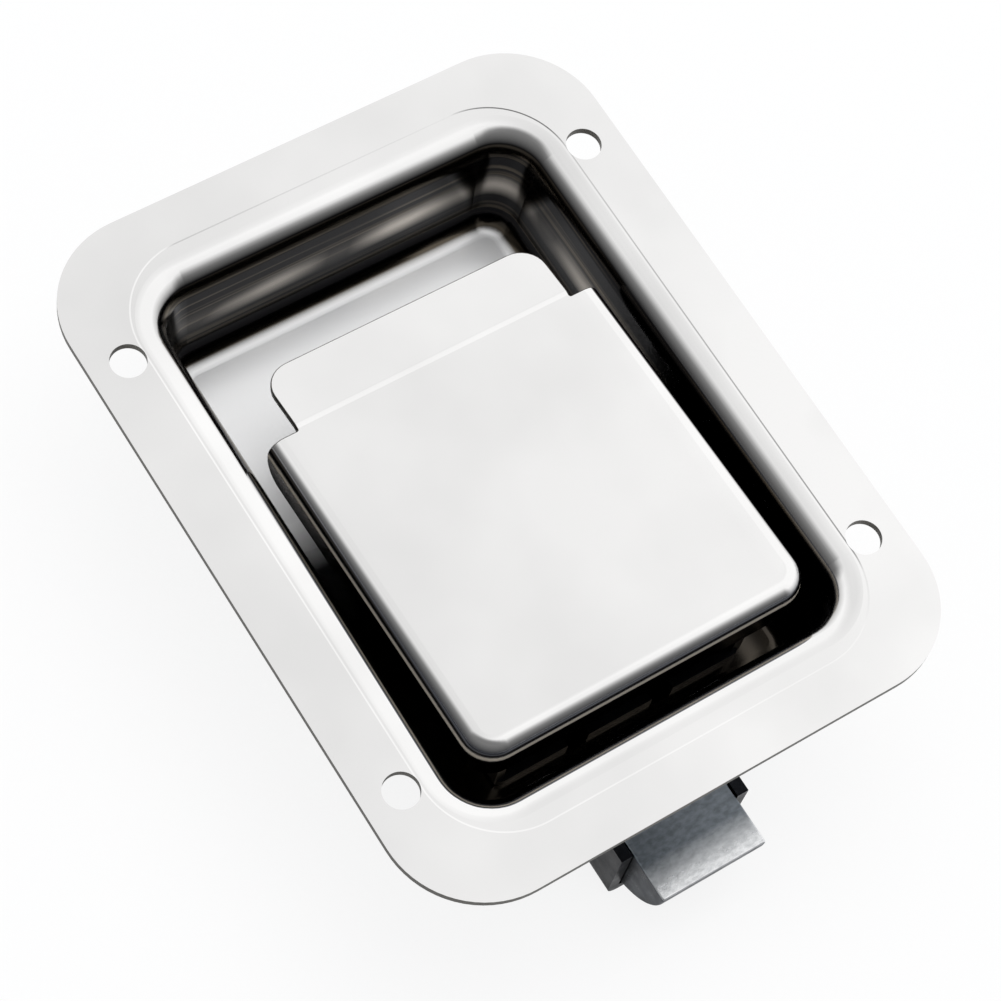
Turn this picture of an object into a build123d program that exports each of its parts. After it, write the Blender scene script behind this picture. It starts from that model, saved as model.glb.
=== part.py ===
from build123d import *
from math import acos, atan2, cos, degrees, hypot, pi, radians, sin, tan
import os

# Flush paddle latch with a spring bolt, at rest: paddle closed, bolt out.
# Millimetres.  The origin is the centre of the face plate's mounting plane,
# which is the back of the flange.  +Z points out of the panel to the user,
# +Y to the finger pocket, and the bolt points along -Y.

# ---------------------------------------------------------------- pan
SHEET = 1.2                 # stainless sheet of the pan and of the paddle
FACE_W = 86.0               # flange width
FACE_H = 111.0              # flange height
FACE_R = 14.15              # flange corner radius
MOUNT_X = 74.5              # mounting hole spacing across
MOUNT_Y = 71.0              # mounting hole spacing along
MOUNT_HOLE_D = 5.2
WELL_W = 60.2               # inside width of the drawn well, at the flange
WELL_H = 84.6               # inside length of the drawn well, at the flange
WELL_R = 6.0                # plan corner radius of the well, at the flange
PAN_DEPTH = 19.5            # from the flange's front to the well's floor
DRAFT = 4.0                 # draw angle of the well's walls, degrees
RIM_R = 4.5                 # outside bend radius where the flange turns down
FLOOR_R = 3.5               # inside radius between wall and floor

# ---------------------------------------------------------------- pivot
PIVOT_Y = -29.5
PIVOT_Z = -6.5
PIN_D = 4.0
PIN_HEAD_D = 7.0
PIN_HEAD_T = 1.4
PIN_HEAD_CHAMFER = 0.4
PIN_END_CHAMFER = 0.4
PIN_OVERHANG = 1.2          # pin past its clip
RUNNING = 0.05              # radial clearance of what turns or slides on a pin
SEAT_GAP = 0.05             # clearance between pieces that bear on each other
LIFT_ANGLE = 35.0           # how far the paddle lifts, degrees

# ---------------------------------------------------------------- paddle
PADDLE_TILT = 3.0           # the closed paddle slopes down to the pocket
PADDLE_W = 53.1
PADDLE_RISE = 9.4           # pin centre to the paddle's outer face
PADDLE_LOWER = 8.85         # pin centre to the lower end
PADDLE_SHOULDER = 44.8      # pin centre to the shoulders
TAB_END = 55.0              # pin centre to the end of the finger tab
TAB_W = 44.4
TAB_R = 4.0
TAB_BEND = 4.0              # the tab is bent down a little, degrees
TAB_LAP = 2.0               # tab run on into the face plate
PADDLE_R = 4.6              # plan radius of the lower corners
FOLD_R = 2.0                # outside radius of the folded edges
SKIRT = 7.0                 # depth of the folded edges

# ---------------------------------------------------------------- lever
LEVER_T = 2.0               # lever plate
CHEEK_X = 6.0               # inner face of each cheek from the middle plane
CHEEK_HALF = 4.0            # half width of a cheek along Y
BOSS_R = 5.2                # cheek radius round the pin
WEB_FRONT = 4.5             # lever web, pin centre to its lower end
WEB_REAR = 20.0             # lever web, pin centre to its upper end
WEB_SIDE = 4.0              # how far the web stands out past each cheek
WEB_CORNER_R = 2.0
GUSSET_SETBACK = 4.0        # gusset's end, back from the web's upper end
GUSSET_TOE = 1.0            # gusset's lower corner, in from the boss
DRIVE_RADIUS = 17.5         # bolt travel for each radian that the paddle lifts
CAM_START = 4.2             # cam edge from the pin centre, along Y, at rest
CAM_SPARE = 1.0             # cam edge past the last contact, degrees

# ---------------------------------------------------------------- hinge bracket
BRACKET_T = 1.5
BRACKET_W = 41.0            # outside width over the two ears
EAR_HALF = 6.5              # half width of an ear along Y
BRACKET_FRONT = -36.5
BRACKET_REAR = 11.0
BRACKET_BEND_R = 1.2        # outside bend radius
SLOT_W = 3.2                # cheek slots in bracket and pan floor
SLOT_FRONT = -36.9
SLOT_REAR = -12.9
SLOT_R = 1.0
SLOT_RELIEF = 0.2           # bracket slots wider than the pan's, each side
BRACKET_CORNER_R = 1.5
STOP_START = 0.5            # the stop on each ear, along Y from the pin centre
STOP_INSET = 0.4            # from the stop's far end to the ear's edge

# ---------------------------------------------------------------- bolt
BOLT_W = 17.2
BOLT_T = 11.6
BOLT_TIP = -61.1
BOLT_SHOULDER = -36.8       # rear end of the wide head
BOLT_GAP = 0.2              # bolt face to the back of the pan floor
TIP_EASE = 0.4              # broken edge at the bolt's tip
TAIL_W = 9.6
TAIL_T = 8.6
TAIL_END = -12.0
TAIL_DROP = 0.6             # tail top below the bolt's front face
DRIVE_PIN_D = 4.0
DRIVE_PIN_L = 16.6
ROD_D = 5.0
ROD_GRIP = 8.0              # length of the rod inside the tail
ROD_END_CHAMFER = 0.6
ROD_OVERHANG = 4.0          # rod past its clip
BORE_GAP = 0.02             # radial clearance of the rod in the tail's bore
TAIL_LAP = 2.0              # tail run on into the head

# ---------------------------------------------------------------- bolt housing
HOUSING_T = 1.8
HOUSING_BEND_R = 2.4        # outside bend radius
BOLT_SIDE_GAP = 0.2
BOLT_BACK_GAP = 0.2
HOUSING_FRONT = -53.7
HOUSING_REAR = 16.0
FOOT_W = 9.5                # width of each mounting foot, past the side wall
FOOT_FRONT = -37.0
FOOT_REAR = 13.0
TAB_CLEAR = 1.5             # rear tab's top edge below the pan floor
TAB_SIDE_GAP = 0.2          # rear tab to the channel's side walls
FOOT_CORNER_R = 3.0

# ---------------------------------------------------------------- rivets
RIVET_D = 4.0
RIVET_X = 14.6
RIVET_YS = (-31.0, 6.0)
RIVET_HEAD_D = 7.2
RIVET_HEAD_T = 1.3
RIVET_HEAD_CHAMFER = 0.6
RIVET_HOLE_GAP = 0.05

# ---------------------------------------------------------------- springs, rings
BOLT_WIRE_D = 1.2
BOLT_COIL_R = 3.4           # mean radius
BOLT_COIL_TURNS = 7
TORSION_WIRE_D = 1.0
TORSION_COIL_R = 3.3        # mean radius
TORSION_TURNS = 4
TORSION_PITCH = 1.25
TORSION_START = 9.2         # from the middle plane
TORSION_LEG = 13.0          # reach of each leg from the pin centre
WIRE_SIDES = 8              # spring wire is drawn with flats
WASHER_T = 0.8
WASHER_D = 9.0
WASHER_GAP = 0.1            # radial clearance of a washer on the rod
RING_T = 0.7
RING_D = 9.0
RING_MOUTH = 60.0           # opening of a retaining ring, degrees
RING_RIM = 0.6              # shaft to the inside of a ring's rim
RING_PAD_W = 1.8            # width of the pads that reach into the groove
GROOVE_DEPTH = 0.5

# ---------------------------------------------------------------- derived places
FLOOR_FRONT = SHEET - PAN_DEPTH
FLOOR_BACK = FLOOR_FRONT - SHEET
BOLT_FACE = FLOOR_BACK - BOLT_GAP
BOLT_BACK = BOLT_FACE - BOLT_T
DRIVE_Z = PIVOT_Z - DRIVE_RADIUS
DRIVE_Y = PIVOT_Y + CAM_START + DRIVE_PIN_D / 2 + SEAT_GAP
CHANNEL_HALF = BOLT_W / 2 + BOLT_SIDE_GAP
HOUSING_HALF = CHANNEL_HALF + HOUSING_T
WEB_TOP = BOLT_BACK - BOLT_BACK_GAP
HOUSING_BACK = WEB_TOP - HOUSING_T
TAIL_TOP = BOLT_FACE - TAIL_DROP
ROD_Z = TAIL_TOP - TAIL_T / 2
REAR_TAB_FRONT = HOUSING_REAR - HOUSING_T
ROD_RING_Y = HOUSING_REAR + SEAT_GAP
ROD_END = ROD_RING_Y + RING_T + ROD_OVERHANG
PIN_RING_X = BRACKET_W / 2 + SEAT_GAP

CUT = 1.0                   # how far a cutter runs past what it cuts
NEAR = 0.01                 # for picking edges that lie on a plane

PIVOT = Pos(0, PIVOT_Y, PIVOT_Z)
PADDLE_FRAME = PIVOT * Rot(X=-PADDLE_TILT)


def rounded_prism(width, length, radius, top, height, taper=0.0):
    """A rounded rectangle at height `top`, extruded down, drawn in by `taper`."""
    section = Plane.XY.offset(top) * RectangleRounded(width, length, radius)
    return extrude(section, -height, taper=taper)


def lowest_edges(solid):
    return solid.edges().group_by(Axis.Z)[0]


def mirrored(solid):
    """The same solid on the other side of the middle plane."""
    return mirror(solid, about=Plane.YZ)


def rod_y(diameter, y_start, y_end, x=0.0, z=0.0):
    """A round bar along Y."""
    section = Plane(origin=(x, y_start, z), x_dir=(1, 0, 0), z_dir=(0, 1, 0)) * Circle(diameter / 2)
    return extrude(section, y_end - y_start)


def rod_x(diameter, x_start, x_end, y=0.0, z=0.0):
    """A round bar along X."""
    section = Plane(origin=(x_start, y, z), x_dir=(0, 1, 0), z_dir=(1, 0, 0)) * Circle(diameter / 2)
    return extrude(section, x_end - x_start)


def side_plate(outline, x_start, thickness):
    """An outline drawn in Y and Z, extruded along +X from `x_start`."""
    return extrude(Plane.YZ.offset(x_start) * outline, thickness)


def place_rivets(solid_at_origin):
    return [Pos(x, y, 0) * solid_at_origin for x in (-RIVET_X, RIVET_X) for y in RIVET_YS]


# ---------------------------------------------------------------- pan
def cheek_slots(top, height, half_gap=0.0):
    """The two slots that the lever's cheeks swing through."""
    length = SLOT_REAR - SLOT_FRONT
    middle = (SLOT_REAR + SLOT_FRONT) / 2
    slot = Pos(CHEEK_X + LEVER_T / 2, middle, 0) * rounded_prism(
        SLOT_W + 2 * half_gap, length + 2 * half_gap, SLOT_R, top, height)
    return slot + mirrored(slot)


def make_pan():
    flange = rounded_prism(FACE_W, FACE_H, FACE_R, SHEET, SHEET)
    tub = rounded_prism(WELL_W + 2 * SHEET, WELL_H + 2 * SHEET, WELL_R + SHEET,
                        SHEET, PAN_DEPTH + SHEET, DRAFT)
    tub = fillet(lowest_edges(tub), FLOOR_R + SHEET)
    well = rounded_prism(WELL_W, WELL_H, WELL_R, SHEET, PAN_DEPTH, DRAFT)
    well = fillet(lowest_edges(well), FLOOR_R)
    body = flange + tub
    back_corner = [e for e in body.edges().filter_by_position(Axis.Z, -NEAR, NEAR)
                   if abs(e.center().X) < WELL_W / 2 + 2 * SHEET
                   and abs(e.center().Y) < WELL_H / 2 + 2 * SHEET]
    body = fillet(back_corner, RIM_R - SHEET)
    body -= well
    rim = [e for e in body.edges().filter_by_position(Axis.Z, SHEET - NEAR, SHEET + NEAR)
           if abs(e.center().X) < WELL_W / 2 + NEAR and abs(e.center().Y) < WELL_H / 2 + NEAR]
    body = fillet(rim, RIM_R)
    for x in (-MOUNT_X / 2, MOUNT_X / 2):
        for y in (-MOUNT_Y / 2, MOUNT_Y / 2):
            body -= Pos(x, y, SHEET / 2) * Cylinder(MOUNT_HOLE_D / 2, 2 * SHEET)
    body -= cheek_slots(FLOOR_FRONT + CUT, SHEET + 2 * CUT)
    for hole in place_rivets(Pos(0, 0, FLOOR_FRONT) * Cylinder(RIVET_D / 2 + RIVET_HOLE_GAP, 4 * SHEET)):
        body -= hole
    return body


# ---------------------------------------------------------------- paddle
def folded_plate():
    """Plate with a drawn edge on three sides, in the paddle's own frame.

    The frame's origin is the pin centre and its XY plane is parallel to the face.
    """
    run_out = PADDLE_R + CUT    # the open end is cut off square afterwards
    length = PADDLE_LOWER + PADDLE_SHOULDER + run_out
    middle = length / 2 - PADDLE_LOWER

    def drawn(inset, fold_radius, plan_radius):
        block = Pos(0, middle, 0) * rounded_prism(
            PADDLE_W - 2 * inset, length - 2 * inset, plan_radius,
            PADDLE_RISE - inset, SKIRT)
        return fillet(block.edges().group_by(Axis.Z)[-1], fold_radius)

    shell = drawn(0, FOLD_R, PADDLE_R) - drawn(SHEET, FOLD_R - SHEET, PADDLE_R - SHEET)
    shell -= Pos(0, 0, PADDLE_RISE - SKIRT - SHEET) * Box(
        2 * PADDLE_W, 3 * PADDLE_SHOULDER, 2 * SHEET)
    top, bottom, start = PADDLE_RISE + CUT, PADDLE_RISE - SKIRT - SHEET, -2 * PADDLE_LOWER
    keep = Plane.YZ * make_face(Polyline(
        (start, top), (PADDLE_SHOULDER, top), (PADDLE_SHOULDER, bottom), (start, bottom),
        close=True))
    return shell & extrude(keep, PADDLE_W, both=True)


def finger_tab():
    """The tab past the shoulders, bent down about a line across them."""
    length = TAB_END - PADDLE_SHOULDER
    plate = Pos(0, length / 2 - TAB_R / 2 - TAB_LAP, -SHEET) * rounded_prism(
        TAB_W, length + TAB_R + 2 * TAB_LAP, TAB_R, SHEET, SHEET)
    plate &= Pos(0, length / 2, -SHEET / 2) * Box(2 * TAB_W, length, 2 * SHEET)
    bent = Rot(X=-TAB_BEND) * plate
    # wedge that closes the bend on the outer side
    knee = extrude(Plane.YZ * make_face(Polyline(
        (-TAB_LAP, 0), (0, 0), (-SHEET * sin(radians(TAB_BEND)), -SHEET * cos(radians(TAB_BEND))),
        (-TAB_LAP, -SHEET), close=True)), TAB_W / 2, both=True)
    return Pos(0, PADDLE_SHOULDER, PADDLE_RISE) * (bent + knee)


def make_paddle():
    return PADDLE_FRAME * (folded_plate() + finger_tab())


# ---------------------------------------------------------------- lever
def cam_point(angle):
    """Involute of the drive circle, so the bolt moves evenly with the paddle."""
    reach = CAM_START + DRIVE_RADIUS * angle
    return (reach * cos(angle) - DRIVE_RADIUS * sin(angle),
            -reach * sin(angle) - DRIVE_RADIUS * cos(angle))


def cheek_outline():
    """One cheek in Y and Z about the pin centre, at rest."""
    last = radians(LIFT_ANGLE + CAM_SPARE)
    steps = 6
    cam = [cam_point(last * i / steps) for i in range(steps + 1)]
    toe = cam[-1]
    arm = make_face(Wire([
        Line((CHEEK_HALF, 0), cam[0]),
        Spline(cam),
        Line(toe, (toe[0] - CHEEK_HALF, toe[1])),
        Line((toe[0] - CHEEK_HALF, toe[1]), (-CHEEK_HALF, toe[1] + CHEEK_HALF)),
        Line((-CHEEK_HALF, toe[1] + CHEEK_HALF), (-CHEEK_HALF, 0)),
        Line((-CHEEK_HALF, 0), (CHEEK_HALF, 0)),
    ]))
    seat = PADDLE_RISE - SHEET
    far = WEB_REAR - GUSSET_SETBACK
    gusset = Rot(Z=-PADDLE_TILT) * make_face(Polyline(
        (-WEB_FRONT, seat), (far, seat), (far, seat - LEVER_T),
        (BOSS_R, -BOSS_R / 2), (-BOSS_R + GUSSET_TOE, 0), (-WEB_FRONT, seat - LEVER_T), close=True))
    return arm + Circle(BOSS_R) + gusset - Circle(PIN_D / 2 + RUNNING)


def make_paddle_lever():
    cheek = PIVOT * side_plate(cheek_outline(), CHEEK_X, LEVER_T)
    web_w = 2 * (CHEEK_X + LEVER_T + WEB_SIDE)
    web_l = WEB_REAR + WEB_FRONT
    web = PADDLE_FRAME * Pos(0, WEB_REAR - web_l / 2, 0) * rounded_prism(
        web_w, web_l, WEB_CORNER_R, PADDLE_RISE - SHEET, LEVER_T)
    return web + cheek + mirrored(cheek)


# ---------------------------------------------------------------- hinge bracket
def ear_outline():
    """Ear of the hinge bracket in Y and Z about the pin centre."""
    foot = FLOOR_FRONT - PIVOT_Z
    stop = PADDLE_RISE - SHEET - SEAT_GAP
    stop_end = EAR_HALF - STOP_INSET
    post = make_face(Polyline(
        (-EAR_HALF, foot), (EAR_HALF, foot), (EAR_HALF, 0), (-EAR_HALF, 0), close=True))
    rest = Rot(Z=-PADDLE_TILT) * make_face(Polyline(
        (STOP_START, 0), (stop_end, 0), (stop_end, stop), (STOP_START, stop), close=True))
    return post + Circle(EAR_HALF) + rest - Circle(PIN_D / 2 + RUNNING / 2)


def make_hinge_bracket():
    half = BRACKET_W / 2
    base_l = BRACKET_REAR - BRACKET_FRONT
    base = Pos(0, (BRACKET_REAR + BRACKET_FRONT) / 2, 0) * rounded_prism(
        BRACKET_W, base_l, BRACKET_CORNER_R, FLOOR_FRONT + BRACKET_T, BRACKET_T)
    ear = PIVOT * side_plate(ear_outline(), half - BRACKET_T, BRACKET_T)
    body = base + ear + mirrored(ear)
    outer = [e for e in body.edges().filter_by(Axis.Y)
             if abs(abs(e.center().X) - half) < NEAR and abs(e.center().Z - FLOOR_FRONT) < NEAR]
    body = fillet(outer, BRACKET_BEND_R)
    body -= cheek_slots(FLOOR_FRONT + BRACKET_T + CUT, BRACKET_T + 2 * CUT, SLOT_RELIEF)
    for hole in place_rivets(Pos(0, 0, FLOOR_FRONT) * Cylinder(RIVET_D / 2 + RIVET_HOLE_GAP, 4 * BRACKET_T)):
        body -= hole
    return body


# ---------------------------------------------------------------- bolt
def make_bolt():
    nose = BOLT_TIP + BOLT_T
    outline = make_face(Wire([
        Line((BOLT_TIP, BOLT_FACE), (BOLT_SHOULDER, BOLT_FACE)),
        Line((BOLT_SHOULDER, BOLT_FACE), (BOLT_SHOULDER, BOLT_BACK)),
        Line((BOLT_SHOULDER, BOLT_BACK), (nose, BOLT_BACK)),
        ThreePointArc((nose, BOLT_BACK),
                      (nose - BOLT_T * sin(pi / 4), BOLT_FACE - BOLT_T * cos(pi / 4)),
                      (BOLT_TIP, BOLT_FACE)),
    ]))
    head = extrude(Plane.YZ * outline, BOLT_W / 2, both=True)
    tip = head.edges().filter_by(Axis.X).sort_by(Axis.Y)[0]
    head = fillet(tip, TIP_EASE)
    tail_l = TAIL_END - BOLT_SHOULDER + TAIL_LAP
    tail = Pos(0, TAIL_END - tail_l / 2, TAIL_TOP - TAIL_T / 2) * Box(TAIL_W, tail_l, TAIL_T)
    body = head + tail
    body -= rod_x(DRIVE_PIN_D, -TAIL_W, TAIL_W, DRIVE_Y, DRIVE_Z)
    body -= rod_y(ROD_D + 2 * BORE_GAP, TAIL_END - ROD_GRIP, TAIL_END + CUT, 0, ROD_Z)
    return body


def make_bolt_drive_pin():
    return rod_x(DRIVE_PIN_D, -DRIVE_PIN_L / 2, DRIVE_PIN_L / 2, DRIVE_Y, DRIVE_Z)


def groove_y(diameter, y, width, x=0.0, z=0.0):
    return (rod_y(diameter + CUT, y, y + width, x, z)
            - rod_y(diameter - 2 * GROOVE_DEPTH, y, y + width, x, z))


def make_bolt_rod():
    rod = rod_y(ROD_D, TAIL_END - ROD_GRIP, ROD_END, 0, ROD_Z)
    rod = chamfer(rod.edges().sort_by(Axis.Y)[-1], ROD_END_CHAMFER)
    return rod - groove_y(ROD_D, ROD_RING_Y, RING_T, 0, ROD_Z)


def retaining_ring(shaft_d):
    """Open retaining ring for a groove, in the XY plane, mouth towards +X."""
    bore = shaft_d / 2 - GROOVE_DEPTH
    ring = Circle(RING_D / 2) - Circle(shaft_d / 2 + RING_RIM)
    for angle in (90, 180, 270):
        ring += Rot(Z=angle) * Pos(RING_D / 4 + bore / 2, 0) * Rectangle(RING_D / 2 - bore, RING_PAD_W)
    ring -= Circle(bore)
    reach = RING_D
    half = radians(RING_MOUTH / 2)
    mouth = make_face(Polyline((0, 0), (reach, reach * tan(half)), (reach, -reach * tan(half)), close=True))
    return extrude(ring - mouth, RING_T)


def make_bolt_rod_ring():
    return Pos(0, ROD_RING_Y, ROD_Z) * Rot(X=-90) * Rot(Z=90) * retaining_ring(ROD_D)


def washer_y(y_start, z):
    return rod_y(WASHER_D, y_start, y_start + WASHER_T, 0, z) - rod_y(
        ROD_D + 2 * WASHER_GAP, y_start, y_start + WASHER_T, 0, z)


# ---------------------------------------------------------------- bolt housing
def make_bolt_housing():
    length = HOUSING_REAR - HOUSING_FRONT
    middle = (HOUSING_REAR + HOUSING_FRONT) / 2
    height = FLOOR_BACK - HOUSING_BACK
    outer = Pos(0, middle, HOUSING_BACK + height / 2) * Box(2 * HOUSING_HALF, length, height)
    outer = fillet(outer.edges().filter_by(Axis.Y).group_by(Axis.Z)[0], HOUSING_BEND_R)
    inner = Pos(0, middle, WEB_TOP + height / 2) * Box(2 * CHANNEL_HALF, length + 2 * CUT, height)
    inner = fillet(inner.edges().filter_by(Axis.Y).group_by(Axis.Z)[0], HOUSING_BEND_R - HOUSING_T)
    body = outer - inner
    foot_l = FOOT_REAR - FOOT_FRONT
    foot_y = (FOOT_REAR + FOOT_FRONT) / 2
    foot_span = 2 * (HOUSING_HALF + FOOT_W)
    feet = Pos(0, foot_y, 0) * rounded_prism(foot_span, foot_l, FOOT_CORNER_R, FLOOR_BACK, HOUSING_T)
    feet -= Pos(0, foot_y, FLOOR_BACK) * Box(2 * CHANNEL_HALF, foot_l + 2 * CUT, 4 * HOUSING_T)
    rear_h = FLOOR_BACK - TAB_CLEAR - WEB_TOP + HOUSING_T / 2
    rear = Pos(0, HOUSING_REAR - HOUSING_T / 2, WEB_TOP - HOUSING_T / 2 + rear_h / 2) * Box(
        2 * (CHANNEL_HALF - TAB_SIDE_GAP), HOUSING_T, rear_h)
    body += feet
    body += rear
    body -= rod_y(ROD_D + 2 * RUNNING, REAR_TAB_FRONT - CUT, HOUSING_REAR + CUT, 0, ROD_Z)
    for hole in place_rivets(Pos(0, 0, FLOOR_BACK) * Cylinder(RIVET_D / 2 + RIVET_HOLE_GAP, 4 * HOUSING_T)):
        body -= hole
    return body


# ---------------------------------------------------------------- pivot pin
def make_pivot_pin():
    half = BRACKET_W / 2
    head_x = -half - SEAT_GAP
    shank = rod_x(PIN_D, head_x, PIN_RING_X + RING_T + PIN_OVERHANG, PIVOT_Y, PIVOT_Z)
    shank = chamfer(shank.edges().sort_by(Axis.X)[-1], PIN_END_CHAMFER)
    head = rod_x(PIN_HEAD_D, head_x - PIN_HEAD_T, head_x, PIVOT_Y, PIVOT_Z)
    head = chamfer(head.edges().sort_by(Axis.X)[0], PIN_HEAD_CHAMFER)
    groove = (rod_x(PIN_D + CUT, PIN_RING_X, PIN_RING_X + RING_T, PIVOT_Y, PIVOT_Z)
              - rod_x(PIN_D - 2 * GROOVE_DEPTH, PIN_RING_X, PIN_RING_X + RING_T, PIVOT_Y, PIVOT_Z))
    return shank + head - groove


def make_pivot_ring():
    return Pos(PIN_RING_X, PIVOT_Y, PIVOT_Z) * Rot(Y=90) * Rot(Z=180) * retaining_ring(PIN_D)


# ---------------------------------------------------------------- rivets
def make_rivet():
    """Rivet through bracket, pan floor and housing foot, formed at both ends."""
    top = FLOOR_FRONT + BRACKET_T
    bottom = FLOOR_BACK - HOUSING_T
    shank = Pos(0, 0, (top + bottom) / 2) * Cylinder(RIVET_D / 2, top - bottom)
    head = Pos(0, 0, top + RIVET_HEAD_T / 2) * Cylinder(RIVET_HEAD_D / 2, RIVET_HEAD_T)
    head = chamfer(head.edges().group_by(Axis.Z)[-1], RIVET_HEAD_CHAMFER)
    tail = Pos(0, 0, bottom - RIVET_HEAD_T / 2) * Cylinder(RIVET_HEAD_D / 2, RIVET_HEAD_T)
    tail = chamfer(tail.edges().group_by(Axis.Z)[0], RIVET_HEAD_CHAMFER)
    return shank + head + tail


# ---------------------------------------------------------------- springs
def coil(radius, pitch, turns, wire_d):
    """Coil about Z that starts on the +X side at height 0."""
    path = Helix(pitch, pitch * turns, radius)
    section = Plane(origin=path @ 0, z_dir=path % 0) * RegularPolygon(wire_d / 2, WIRE_SIDES)
    return sweep(section, path=path, is_frenet=True)


def make_bolt_spring():
    """Compression spring with closed ends, from the front washer to the rear one."""
    start = TAIL_END + WASHER_T + SEAT_GAP
    end = REAR_TAB_FRONT - WASHER_T - SEAT_GAP
    length = end - start
    pitch = (length - BOLT_WIRE_D) / BOLT_COIL_TURNS
    body = Pos(0, 0, BOLT_WIRE_D / 2) * coil(BOLT_COIL_R, pitch, BOLT_COIL_TURNS, BOLT_WIRE_D)
    return Pos(0, start, ROD_Z) * Rot(X=-90) * body


def tangent_angle(target, radius, side):
    """Angle on a circle round the origin where a tangent to `target` touches it."""
    return atan2(target[1], target[0]) + side * acos(radius / hypot(*target))


def leg(start, end):
    """Straight wire between two points, run on a little into the coil."""
    run = Vector(*end) - Vector(*start)
    lap = run.normalized() * (TORSION_WIRE_D / 2)
    plane = Plane(origin=Vector(*start) - lap, z_dir=run)
    return extrude(plane * RegularPolygon(TORSION_WIRE_D / 2, WIRE_SIDES), run.length + lap.length)


def make_return_spring():
    """Right-hand torsion spring on the pivot pin.

    It is drawn in Y, Z and X about the pin centre: one leg bears up on the
    lever's web and the other bears down on the bracket's base.
    """
    wire_r = TORSION_WIRE_D / 2
    web_under = PADDLE_RISE - SHEET - LEVER_T - wire_r - SEAT_GAP
    tilt = radians(PADDLE_TILT)
    up = (TORSION_LEG * cos(tilt) + web_under * sin(tilt),
          web_under * cos(tilt) - TORSION_LEG * sin(tilt))
    down = (TORSION_LEG, FLOOR_FRONT + BRACKET_T - PIVOT_Z + wire_r + SEAT_GAP)
    start = tangent_angle(up, TORSION_COIL_R, 1)
    end = tangent_angle(down, TORSION_COIL_R, -1) + 2 * pi
    turns = TORSION_TURNS + (end - start) / (2 * pi)
    height = TORSION_PITCH * turns
    body = Rot(Z=degrees(start)) * coil(TORSION_COIL_R, TORSION_PITCH, turns, TORSION_WIRE_D)
    body += leg((TORSION_COIL_R * cos(start), TORSION_COIL_R * sin(start), 0), (*up, 0))
    body += leg((TORSION_COIL_R * cos(end), TORSION_COIL_R * sin(end), height), (*down, height))
    frame = Plane(origin=(TORSION_START, PIVOT_Y, PIVOT_Z), x_dir=(0, 1, 0), z_dir=(1, 0, 0))
    return frame.location * body


def make_nodes():
    """Every piece by its node name."""
    nodes = {
        "pan": make_pan(),
        "paddle": make_paddle(),
        "paddle_lever": make_paddle_lever(),
        "hinge_bracket": make_hinge_bracket(),
        "pivot_pin": make_pivot_pin(),
        "pivot_ring": make_pivot_ring(),
        "return_spring_right": make_return_spring(),
        "return_spring_left": mirrored(make_return_spring()),
        "bolt": make_bolt(),
        "bolt_drive_pin": make_bolt_drive_pin(),
        "bolt_rod": make_bolt_rod(),
        "bolt_rod_ring": make_bolt_rod_ring(),
        "bolt_spring": make_bolt_spring(),
        "spring_washer_front": washer_y(TAIL_END, ROD_Z),
        "spring_washer_rear": washer_y(REAR_TAB_FRONT - WASHER_T, ROD_Z),
        "bolt_housing": make_bolt_housing(),
    }
    for number, rivet in enumerate(place_rivets(make_rivet()), start=1):
        nodes[f"housing_rivet_{number}"] = rivet
    return nodes


if __name__ == "__main__":
    os.makedirs("parts", exist_ok=True)
    for name, solid in make_nodes().items():
        export_step(solid, f"parts/{name}.step")
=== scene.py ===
"""Flush paddle latch: finishes, fine pieces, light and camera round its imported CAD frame."""

import logging
import math
from dataclasses import dataclass
from enum import Enum
from typing import Callable

import bmesh
import bpy
from mathutils import Matrix, Vector


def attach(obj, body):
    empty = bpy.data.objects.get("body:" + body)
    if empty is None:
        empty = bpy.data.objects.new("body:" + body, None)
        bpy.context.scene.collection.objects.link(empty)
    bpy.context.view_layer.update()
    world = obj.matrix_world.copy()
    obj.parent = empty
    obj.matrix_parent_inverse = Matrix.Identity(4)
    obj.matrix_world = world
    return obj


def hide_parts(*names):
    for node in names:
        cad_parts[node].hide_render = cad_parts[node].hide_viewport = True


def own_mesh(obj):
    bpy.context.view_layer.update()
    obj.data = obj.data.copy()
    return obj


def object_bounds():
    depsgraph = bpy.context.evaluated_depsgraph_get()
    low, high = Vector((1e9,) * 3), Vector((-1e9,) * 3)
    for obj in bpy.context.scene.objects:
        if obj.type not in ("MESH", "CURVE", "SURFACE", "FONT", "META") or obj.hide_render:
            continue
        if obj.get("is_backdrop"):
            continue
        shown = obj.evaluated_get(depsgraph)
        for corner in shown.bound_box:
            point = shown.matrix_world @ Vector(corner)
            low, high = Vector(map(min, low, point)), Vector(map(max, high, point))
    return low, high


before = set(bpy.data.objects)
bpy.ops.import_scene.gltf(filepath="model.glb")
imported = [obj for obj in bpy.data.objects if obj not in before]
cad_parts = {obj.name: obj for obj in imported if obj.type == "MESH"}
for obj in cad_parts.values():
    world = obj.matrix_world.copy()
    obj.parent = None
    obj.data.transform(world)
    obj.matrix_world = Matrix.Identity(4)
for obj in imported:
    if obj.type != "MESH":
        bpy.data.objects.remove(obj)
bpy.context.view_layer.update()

LOG = logging.getLogger("paddle_latch")
MM = 0.001
PAN_BODY, PADDLE_BODY, BOLT_BODY = "pan_assembly", "paddle_assembly", "bolt_assembly"

Corner = tuple[float, float, float]
Colour = tuple[float, float, float]
Socket = bpy.types.NodeSocket


class Grain(Enum):
    """How the surface of a metal finish is worked."""

    MIRROR = "mirror"      # buffed sheet, faint waves and clouds
    PLATED = "plated"      # mottled zinc over a drawn surface
    TURNED = "turned"      # fine rings left by a lathe or a drawing die
    BLACKED = "blacked"    # oiled black oxide


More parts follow.
